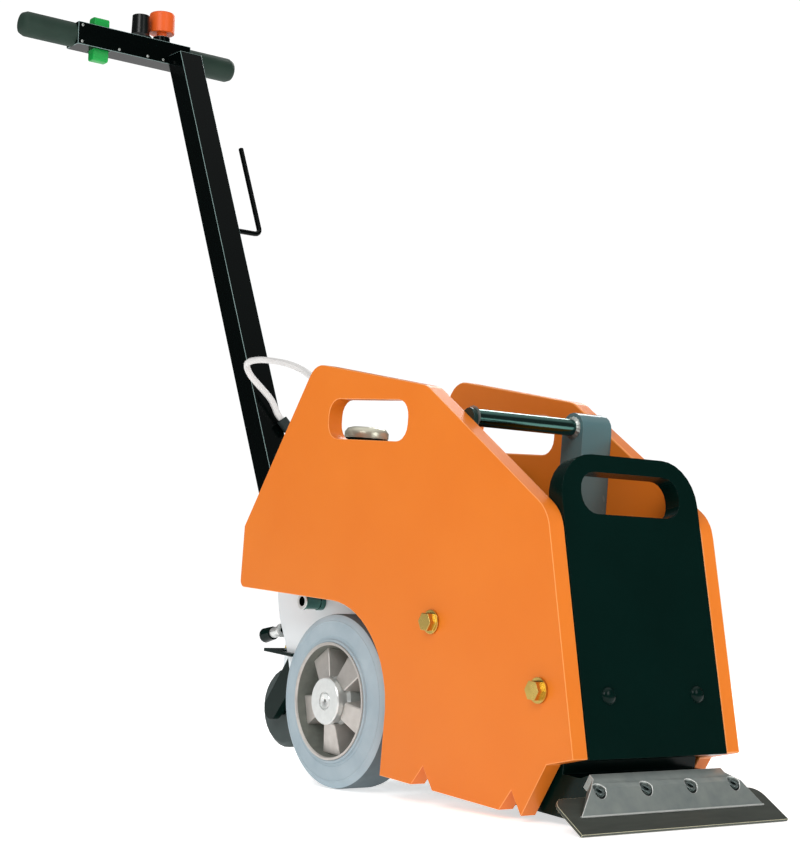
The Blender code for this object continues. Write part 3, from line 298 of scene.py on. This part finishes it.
DRAWN_STEEL = metal("drawn steel", "7E8A88", "5E6B6A", 0.25, 3.3333, (0.2, 1, 1))
OILED_TUBE = metal("oiled black tube", "5A827A", "3C625C", 0.16, 3.3333, (0.1, 1, 1))
ease_edges("cross_tube", OILED_TUBE, "bright_steel", 0.0004, 2)
for node in ("drive_axle", "axle_sprocket", "gear_sprocket", "motor_pulley", "eccentric_shaft",
             "drive_chain", "handle_stub_left", "handle_stub_right"):
    ease_edges(node, DRAWN_STEEL, "bright_steel", 0.0004, 2)
CAP_STEEL = metal("spun steel cap", "D6D6C4", "C2C1AC", 0.3, 16.667, (1, 1, 1), 0.5)
ease_edges("gear_motor_cap", CAP_STEEL, "bright_steel", 0.0004, 2)

# ---- plated bolts --------------------------------------------------------------------------------
# Hexagon bolts and their washers hold the side weights and the mast's foot. They are steel with a
# yellow zinc plate, so they are pale gold with a bright edge.
YELLOW_ZINC = metal("yellow zinc plate", "D8BC6A", "B89A4E", 0.28, 11.111, (1, 1, 1))
for node in ("plate_bolt_left_rear", "plate_bolt_left_front", "plate_bolt_right_rear",
             "plate_bolt_right_front", "mast_pivot_bolt"):
    ease_edges(node, YELLOW_ZINC, "yellow_zinc", 0.0006, 3)

# ---- drive wheels --------------------------------------------------------------------------------
# A solid non-marking rubber tyre on a gravity-cast five-spoke aluminium rim, machined on the hub
# face and the lip. It is a stock trolley wheel.
def turned_mesh(name, profile, steps, closed=True):
    """A profile of (x, radius) turned about X."""
    points, faces = [], []
    for x, radius in profile:
        for k in range(steps):
            angle = 2 * math.pi * k / steps
            points.append((x, radius * math.cos(angle), radius * math.sin(angle)))
    count = len(profile)
    for i in range(count if closed else count - 1):
        low, high = i * steps, (i + 1) % count * steps
        faces += [(low + k, low + (k + 1) % steps, high + (k + 1) % steps, high + k) for k in range(steps)]
    if not closed:
        faces += [tuple(range(steps)), tuple(reversed(range((count - 1) * steps, count * steps)))]
    mesh = bpy.data.meshes.new(name)
    mesh.from_pydata(points, [], faces)
    bm = bmesh.new()
    bm.from_mesh(mesh)
    bmesh.ops.recalc_face_normals(bm, faces=bm.faces)
    for face in bm.faces:
        face.smooth = True
    for edge in bm.edges:
        edge.smooth = edge.calc_face_angle(0) < math.radians(30)
    bm.to_mesh(mesh)
    bm.free()
    return mesh


def place_mesh(mesh, place, turn=(0, 0, 0)):
    """Move a mesh's own points, so the object stays at the origin."""
    mesh.transform(Matrix.Translation(place) @ Euler([math.radians(a) for a in turn]).to_matrix().to_4x4())
    return mesh


MOTTLE_WIDTH = 28.571 * MM
MOULD_GRAIN = 1.4286 * MM  # about ten times a real mould's grain, so that it shows


def rubber(name, colour, shade, roughness, speckle):
    """Moulded rubber: matt, slightly mottled, with a fine mould texture that breaks up its sheen."""
    made, tree = start_material(name)
    place = add_node(tree, "TexCoord").outputs["Object"]
    cloud = add_node(tree, "TexNoise", {"Vector": place, "Scale": 1 / MOTTLE_WIDTH, "Detail": 5.0})
    mix = add_node(tree, "Mix", {"Factor": cloud.outputs["Fac"], 6: linear(colour), 7: linear(shade)},
                   data_type="RGBA")
    grain = add_node(tree, "TexNoise", {"Vector": place, "Scale": 1 / MOULD_GRAIN, "Detail": 2.0})
    bump = add_node(tree, "Bump", {"Height": grain.outputs["Fac"], "Strength": speckle, "Distance": 0.0003})
    shader = add_node(tree, "BsdfPrincipled", {
        "Base Color": mix.outputs[2], "Roughness": roughness, "Specular IOR Level": 0.25,
        "Normal": bump.outputs["Normal"]})
    add_node(tree, "OutputMaterial", {"Surface": shader.outputs["BSDF"]})
    return made


GREY_RUBBER = rubber("grey wheel rubber", "AFBDC3", "8D9FA9", 0.7, 0.3)
# The tread rubber is darker than the sidewall to stand for the shade the tread lies in: painted shade.
TREAD_PAINTED_SHADE = rubber("tread rubber darkened as painted shade", "69767B", "4E595D", 0.8, 0.5)
CAST_ALUMINIUM = metal("cast aluminium", "CFCBC6", "B8B4AE", 0.42, 8.3333, (1, 1, 1), 0.55)
MACHINED_FACE = metal("machined aluminium", "E2E5E3", "D0D4D2", 0.3, 5.0, (1, 1, 1), 0.55)
WELD = metal("hand-laid weld", "B9BDB8", "8C938F", 0.35, 5.0, (1, 1, 1), 0.7)
# The rim's shell is a darker grey than the cast spokes, standing for the shade in the pockets: painted
# shade.
POCKET_PAINTED_SHADE = metal("cast pocket darkened as painted shade", "7C8078", "666A63", 0.55, 8.3333, (1, 1, 1), 0.5)

tyre_low, tyre_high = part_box("tyre_left")
WHEEL_RADIUS = (tyre_high[1] - tyre_low[1]) / 2
WHEEL_HALF = (tyre_high[0] - tyre_low[0]) / 2
WHEEL_X = -(tyre_high[0] + tyre_low[0]) / 2
rim_low, rim_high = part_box("wheel_rim_left")
RIM_RADIUS = (rim_high[1] - rim_low[1]) / 2
HUB_FACE = -rim_low[0] - WHEEL_X
HUB_RADIUS = 27 * MM
RIM_LIP = WHEEL_HALF + 7.2 * MM


def spoke_mesh(name, middle):
    """One flat tapering spoke between hub and rim, with drafted sides."""
    near, far = HUB_RADIUS - 2 * MM, 61.5 * MM
    half_near, half_far, draft = 10.5 * MM, 17.0 * MM, 3.0 * MM
    front_near, front_far, back_x = WHEEL_HALF + 3.0 * MM, WHEEL_HALF - 4.0 * MM, -6 * MM
    points = []
    for extra, xs in ((0, (front_near, front_far)), (draft, (back_x, back_x))):
        for radius, half, x in ((near, half_near, xs[0]), (far, half_far, xs[1])):
            for sign in (-1, 1):
                points.append(Vector((x, sign * (half + extra), radius)))
    faces = [(0, 1, 3, 2), (4, 6, 7, 5), (0, 4, 5, 1), (2, 3, 7, 6), (0, 2, 6, 4), (1, 5, 7, 3)]
    mesh = bpy.data.meshes.new(name)
    mesh.from_pydata(points, [], faces)
    mesh.transform(Matrix.Rotation(math.radians(middle), 4, "X"))
    bm = bmesh.new()
    bm.from_mesh(mesh)
    bmesh.ops.recalc_face_normals(bm, faces=bm.faces)
    bm.to_mesh(mesh)
    bm.free()
    return mesh


def join_meshes(name, meshes):
    """One mesh from several."""
    bm = bmesh.new()
    for mesh in meshes:
        bm.from_mesh(mesh)
    joined = bpy.data.meshes.new(name)
    bm.to_mesh(joined)
    bm.free()
    return joined


def add_bevel(piece, width, segments=3, angle=30):
    bevel = piece.modifiers.new("eased edges", "BEVEL")
    bevel.width, bevel.segments = width, segments
    bevel.limit_method, bevel.angle_limit = "ANGLE", math.radians(angle)
    bevel.harden_normals = True


SPOKE_START = 31.0
for side, sign, turn in (("left", -1, 180), ("right", 1, 0)):
    centre = (sign * WHEEL_X, AXLE_Y, AXLE_Z)
    inside, channel = -22 * MM, 60.5 * MM
    shell = [(inside, RIM_RADIUS), (RIM_LIP - 1 * MM, RIM_RADIUS), (RIM_LIP, RIM_RADIUS - 1 * MM),
             (RIM_LIP, RIM_RADIUS - 2.2 * MM), (RIM_LIP - 1.5 * MM, RIM_RADIUS - 3 * MM),
             (4 * MM, channel - 2 * MM), (-6 * MM, channel - 6 * MM), (-9 * MM, HUB_RADIUS + 4 * MM),
             (-12 * MM, HUB_RADIUS), (inside, HUB_RADIUS - 2 * MM), (inside, HUB_RADIUS + 4 * MM),
             (-15 * MM, HUB_RADIUS + 8 * MM), (-15 * MM, channel - 6 * MM), (inside, channel)]
    # The shell, seen between the spokes, wears the darker painted pocket shade.
    link_piece("rim_shell_" + side, place_mesh(turned_mesh("rim shell", shell, 96), centre, (0, 0, turn)),
               POCKET_PAINTED_SHADE, "drive_axle", "cast_aluminium", "wheel_rim_" + side)
    lip = [(RIM_LIP - 3 * MM, RIM_RADIUS + 0.2 * MM), (RIM_LIP + 0.1 * MM, RIM_RADIUS),
           (RIM_LIP + 0.2 * MM, RIM_RADIUS - 2.3 * MM), (RIM_LIP - 1.6 * MM, RIM_RADIUS - 3.4 * MM),
           (RIM_LIP - 3 * MM, RIM_RADIUS - 2.6 * MM)]
    link_piece("rim_lip_" + side, place_mesh(turned_mesh("rim lip", lip, 96), centre, (0, 0, turn)),
               CAST_ALUMINIUM, "drive_axle", "cast_aluminium")
    spokes = [spoke_mesh(f"spoke {number}", SPOKE_START + 72 * number) for number in range(5)]
    piece = link_piece("spokes_" + side, place_mesh(join_meshes("spokes", spokes), centre, (0, 0, turn)),
                       CAST_ALUMINIUM, "drive_axle", "cast_aluminium")
    add_bevel(piece, 1.6 * MM)
    hub = [(inside, 9.3 * MM), (HUB_FACE - 1.5 * MM, 9.3 * MM), (HUB_FACE - 1.5 * MM, 10.4 * MM),
           (HUB_FACE, 10.6 * MM), (HUB_FACE, HUB_RADIUS - 1.2 * MM), (HUB_FACE - 1.2 * MM, HUB_RADIUS),
           (HUB_FACE - 7 * MM, HUB_RADIUS), (HUB_FACE - 8 * MM, HUB_RADIUS - 1.5 * MM),
           (WHEEL_HALF - 2 * MM, HUB_RADIUS - 1.5 * MM), (WHEEL_HALF - 6 * MM, HUB_RADIUS + 1 * MM),
           (inside, HUB_RADIUS - 4 * MM)]
    link_piece("wheel_hub_" + side, place_mesh(turned_mesh("hub", hub, 64), centre, (0, 0, turn)),
               MACHINED_FACE, "drive_axle", "cast_aluminium")
    plug = [(HUB_FACE - 9 * MM, 2.2 * MM), (HUB_FACE - 0.8 * MM, 2.2 * MM), (HUB_FACE - 0.4 * MM, 3.0 * MM),
            (HUB_FACE - 0.3 * MM, 8.2 * MM), (HUB_FACE - 1.2 * MM, 9.0 * MM), (HUB_FACE - 9 * MM, 9.0 * MM)]
    link_piece("hub_plug_" + side, place_mesh(turned_mesh("plug", plug, 48), centre, (0, 0, turn)),
               MACHINED_FACE, "drive_axle", "cast_aluminium")
    half, radius = WHEEL_HALF, WHEEL_RADIUS + 0.15 * MM
    seat = RIM_RADIUS + 0.3 * MM
    outer = [(half + 5.6 * MM, seat), (half + 6.0 * MM, seat + 1.2 * MM),
             (half + 5.4 * MM, seat + 2.8 * MM), (half + 3.0 * MM, seat + 3.6 * MM),
             (half + 2.6 * MM, seat + 6.2 * MM), (half + 3.2 * MM, seat + 7.4 * MM),
             (half + 2.4 * MM, radius - 13 * MM), (half + 1.6 * MM, radius - 9.6 * MM),
             (half + 2.0 * MM, radius - 9.1 * MM), (half + 1.8 * MM, radius - 8.2 * MM),
             (half + 1.2 * MM, radius - 7.7 * MM), (half + 0.2 * MM, radius - 4.0 * MM),
             (half - 2.2 * MM, radius - 1.0 * MM), (half - 6.5 * MM, radius)]
    profile = outer + [(-x, r) for x, r in reversed(outer)]
    tyre = place_mesh(turned_mesh("tyre", profile, 128), centre, (0, 0, turn))
    piece = link_piece("tyre_rubber_" + side, tyre, GREY_RUBBER, "drive_axle", "grey_tyre", "tyre_" + side)
    # The outermost faces of the tyre take the darker rubber, a painted shade on the tread.
    piece.data.materials.append(TREAD_PAINTED_SHADE)
    for polygon in piece.data.polygons:
        reach_out = math.hypot(polygon.center.y - centre[1], polygon.center.z - centre[2])
        polygon.material_index = 1 if reach_out > radius - 0.8 * MM else 0

# ---- stub shaft ----------------------------------------------------------------------------------
# The shaft that the transport wheel's arm swings on: a bored steel tube, pressed into the left cheek
# plate, with a faced bright end and a collar beside the plate.
stub_low, stub_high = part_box("stub_shaft")
stub_middle = (0, (stub_low[1] + stub_high[1]) / 2, (stub_low[2] + stub_high[2]) / 2)
stub_radius = (stub_high[2] - stub_low[2]) / 2
cheek_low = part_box("cheek_plate_left")[0]
tube_end, cheek_face = stub_low[0], cheek_low[0]
tube = [(tube_end + 12 * MM, 0.5 * MM), (tube_end + 12 * MM, 6.2 * MM), (tube_end + 0.8 * MM, 6.2 * MM),
        (tube_end, 7.2 * MM), (tube_end, stub_radius - 1.2 * MM), (tube_end + 1.2 * MM, stub_radius),
        (tube_end + 2.4 * MM, stub_radius), (tube_end + 2.4 * MM, stub_radius - 1 * MM),
        (cheek_face - 7 * MM, stub_radius - 1 * MM), (cheek_face - 7 * MM, stub_radius),
        (cheek_face - 0.4 * MM, stub_radius), (cheek_face - 0.4 * MM, 7.4 * MM), (stub_high[0], 7.4 * MM),
        (stub_high[0], 0.5 * MM)]
link_piece("stub_shaft_tube", place_mesh(turned_mesh("stub tube", tube, 48), stub_middle), OILED_TUBE,
           "chassis", "bright_steel", "stub_shaft")
face_ring = [(tube_end - 0.1 * MM, 6.0 * MM), (tube_end - 0.1 * MM, stub_radius - 0.8 * MM),
             (tube_end + 0.6 * MM, stub_radius - 0.2 * MM), (tube_end + 0.6 * MM, 6.0 * MM)]
link_piece("stub_shaft_face", place_mesh(turned_mesh("stub face", face_ring, 48), stub_middle),
           MACHINED_FACE, "chassis", "bright_steel")

# ---- welds ---------------------------------------------------------------------------------------
# A fillet of weld round each end of the cross tube, where it meets the arms. It is laid by hand
# and left bare, so its ripples show.
tube_low, tube_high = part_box("cross_tube")
tube_middle = (0, (tube_low[1] + tube_high[1]) / 2, (tube_low[2] + tube_high[2]) / 2)
tube_radius = (tube_high[2] - tube_low[2]) / 2
for side, foot, inward in (("left", tube_low[0], 1), ("right", tube_high[0], -1)):
    bead = turned_mesh("bead", [(foot, tube_radius - 1 * MM), (foot, tube_radius + 3.2 * MM),
                                (foot + inward * 1.6 * MM, tube_radius + 2.2 * MM),
                                (foot + inward * 3.4 * MM, tube_radius - 1 * MM)], 64)
    for number, point in enumerate(bead.vertices):
        swell = 1 + 0.03 * math.sin(number % 64 * math.pi / 2)
        point.co.y, point.co.z = point.co.y * swell, point.co.z * swell
    link_piece("tube_weld_" + side, place_mesh(bead, tube_middle), WELD, "chassis", "bright_steel")

# ---- blade head ----------------------------------------------------------------------------------
# A ground spring-steel blade held on its black holder by a bent and milled clamp bar with four
# socket screws.
BLADE_STEEL = metal("dark spring steel", "4C5048", "393D38", 0.4, 6.6667, (0.15, 1, 1), 0.6)
# The cutting edge is ground bright; the same pale finish on the blade's other edges is a painted highlight.
GROUND_EDGE_AND_HIGHLIGHT = metal("ground cutting edge and painted edge highlight", "EFEBC8", "D8D4B0", 0.35, 5.0, (0.1, 1, 1), 0.4)
CLAMP_STEEL = metal("milled clamp steel", "AEB4AE", "6E7A7A", 0.34, 22.222, (1, 1, 1), 0.6)
# The pale finish on the clamp's rounded edges is a painted highlight.
STEEL_PAINTED_HIGHLIGHT = metal("steel painted edge highlight", "E4E6E2", "B4B8B4", 0.3, 16.667, (1, 1, 1), 0.5)
ease_edges("blade", BLADE_STEEL, "bright_steel", 0.0005, 2, 40, GROUND_EDGE_AND_HIGHLIGHT)
clamp = ease_edges("blade_clamp", CLAMP_STEEL, "bright_steel", 0.0008, 2, 50, STEEL_PAINTED_HIGHLIGHT)
clamp.data.set_sharp_from_angle(angle=math.radians(20))
ease_edges("blade_holder", BLACK_ENAMEL, "black_paint", 0.001, 3, 40, BLACK_PAINTED_HIGHLIGHT)
# A thin pale rod laid along the clamp's lower front edge is a painted highlight.
clamp_low, clamp_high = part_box("blade_clamp")
clamp_corners = [corner.co for corner in frame["nodes"]["blade_clamp"].data.vertices]
toe_height = min(corner.z for corner in clamp_corners if corner.y < clamp_low[1] + 0.3 * MM)
strip = [(clamp_low[0] + 1 * MM, 1.0 * MM), (clamp_high[0] - 1 * MM, 1.0 * MM)]
link_piece("clamp_painted_highlight_toe", place_mesh(turned_mesh("painted highlight toe", strip, 12, False),
                                        (0, clamp_low[1] + 1.0 * MM, toe_height + 1.1 * MM)),
           STEEL_PAINTED_HIGHLIGHT, "blade_head", "bright_steel")


def sink_socket(piece, along, width, depth):
    """Press a hexagon socket into the flat end face that looks along a direction."""
    bm = bmesh.new()
    bm.from_mesh(piece.data)
    bm.normal_update()
    facing = [face for face in bm.faces if face.normal.dot(along) > 0.98]
    top = max(facing, key=lambda face: face.calc_center_median().dot(along))
    middle, edge_out = top.calc_center_median(), top.edges[0].verts[0].co
    reach = (edge_out - middle).length
    bmesh.ops.inset_individual(bm, faces=[top], thickness=reach - width / 2, use_even_offset=True)
    for corner in top.verts:
        ray_out = corner.co - middle
        corner.co = middle + ray_out.normalized() * width / 2
    bottom = bmesh.ops.extrude_discrete_faces(bm, faces=[top])["faces"][0]
    for corner in bottom.verts:
        corner.co -= along * depth
    bm.normal_update()
    for edge in bm.edges:
        edge.smooth = edge.calc_face_angle(0) < math.radians(40)
    bm.to_mesh(piece.data)
    bm.free()


for number in range(1, 5):
    screw = ease_edges(f"clamp_screw_{number}", DRAWN_STEEL, "bright_steel", 0.0005, 2)
    broad = [polygon.normal for polygon in screw.data.polygons if polygon.area > 50 * MM * MM]
    looks = max(broad, key=lambda normal: normal.z)
    sink_socket(screw, looks.copy(), 6 * MM, 4 * MM)

# ---- mast and handlebar --------------------------------------------------------------------------
# A square steel tube with a folded box across its top, all in gloss black, with foam grips on
# steel stubs. The box carries a start paddle, a stop knob and a mains inlet.
# The pale rounded edges of the mast and the switch box are a painted highlight.
MAST_PAINTED_HIGHLIGHT = enamel("mast black with a painted edge highlight", "94ABA8", "587370", 0.2, 0.5, 0.05)
DEEP_BLACK = enamel("deep black enamel", "020706", "010303", 0.16, 0.08, 0.05)
for node in ("mast_tube", "switch_box"):
    ease_edges(node, DEEP_BLACK, "black_paint", 0.0014, 3, 40, MAST_PAINTED_HIGHLIGHT)
ease_edges("cord_hook", DEEP_BLACK, "black_paint", 0.0004, 2)
SPARK_GRAIN = 1.1111 * MM  # a spark-eroded mould is finer than this, drawn coarse to show


def plastic(name, colour, roughness):
    """Injection-moulded plastic: one even colour, with a satin sheen from its spark-eroded mould."""
    made, tree = start_material(name)
    place = add_node(tree, "TexCoord").outputs["Object"]
    grain = add_node(tree, "TexNoise", {"Vector": place, "Scale": 1 / SPARK_GRAIN, "Detail": 2.0})
    bump = add_node(tree, "Bump", {"Height": grain.outputs["Fac"], "Strength": 0.1, "Distance": 0.0002})
    gloss = add_node(tree, "MapRange", {"Value": grain.outputs["Fac"], "To Min": roughness * 0.85,
                                        "To Max": roughness * 1.15})
    shader = add_node(tree, "BsdfPrincipled", {
        "Base Color": linear(colour), "Roughness": gloss.outputs["Result"], "Specular IOR Level": 0.35,
        "Normal": bump.outputs["Normal"]})
    add_node(tree, "OutputMaterial", {"Surface": shader.outputs["BSDF"]})
    return made


ease_edges("mains_inlet", plastic("black nylon", "0A0F0E", 0.3), "black_plastic", 0.0006, 3)
box_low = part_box("switch_box")[0]
dome = [(0.0, 2.4 * MM), (0.7 * MM, 2.2 * MM), (1.2 * MM, 1.5 * MM), (1.2 * MM, 0.9 * MM),
        (0.5 * MM, 0.8 * MM)]
end_screw = box_low[0] + 7 * MM
spots = [(x, 4.5 * MM) for x in (end_screw, -28 * MM, 22 * MM, 50 * MM)] + [(end_screw, 30 * MM)]
screws = [place_mesh(turned_mesh("box screw", dome, 16, False), (x, box_low[1], box_low[2] + up_box),
                     (0, 0, -90)) for x, up_box in spots]
link_piece("box_cover_screws", join_meshes("box screws", screws), WELD, "mast", "black_paint")
GRIP_FOAM = rubber("foam grip rubber", "24392F", "1A2C24", 0.6, 0.4)
for side in ("left", "right"):
    ease_edges("grip_" + side, GRIP_FOAM, "dark_rubber", 0.0005, 2, 50)
DARK_RUBBER = rubber("dark moulded rubber", "2A3331", "20282A", 0.6, 0.3)
for node in ("mast_gland", "box_gland", "rubber_mount_left", "rubber_mount_right", "drive_belt"):
    ease_edges(node, DARK_RUBBER, "dark_rubber", 0.0006, 2)
WHEEL_RUBBER = rubber("black wheel rubber", "46504F", "384140", 0.6, 0.3)
ease_edges("transport_wheel", WHEEL_RUBBER, "dark_rubber", 0.0010, 3)
ease_edges("start_paddle", plastic("green nylon", "0C9A40", 0.4), "green_plastic", 0.0012, 3)
ease_edges("stop_knob", plastic("orange nylon", "E05C1C", 0.4), "orange_plastic", 0.0012, 3)

# ---- plunger and cable ---------------------------------------------------------------------------
# A turned steel index plunger with a black knob locks the transport wheel's arm. A pale cable runs
# from a gland on the mast, over in an arch, to the electrics box behind the left weight.
ease_edges("plunger_knob", BLACK_ENAMEL, "black_paint", 0.0005, 2)
ease_edges("plunger_body", MACHINED_FACE, "bright_steel", 0.0005, 2)
cable = bpy.data.objects.new("mast_cable_sheath", frame["nodes"]["mast_cable"].data.copy())
cable.data.materials.clear()
cable.data.materials.append(rubber("pale cable sheath", "E6E4E2", "D8D6D4", 0.5, 0.1))
bpy.context.scene.collection.objects.link(cable)
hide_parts("mast_cable")
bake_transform(cable)
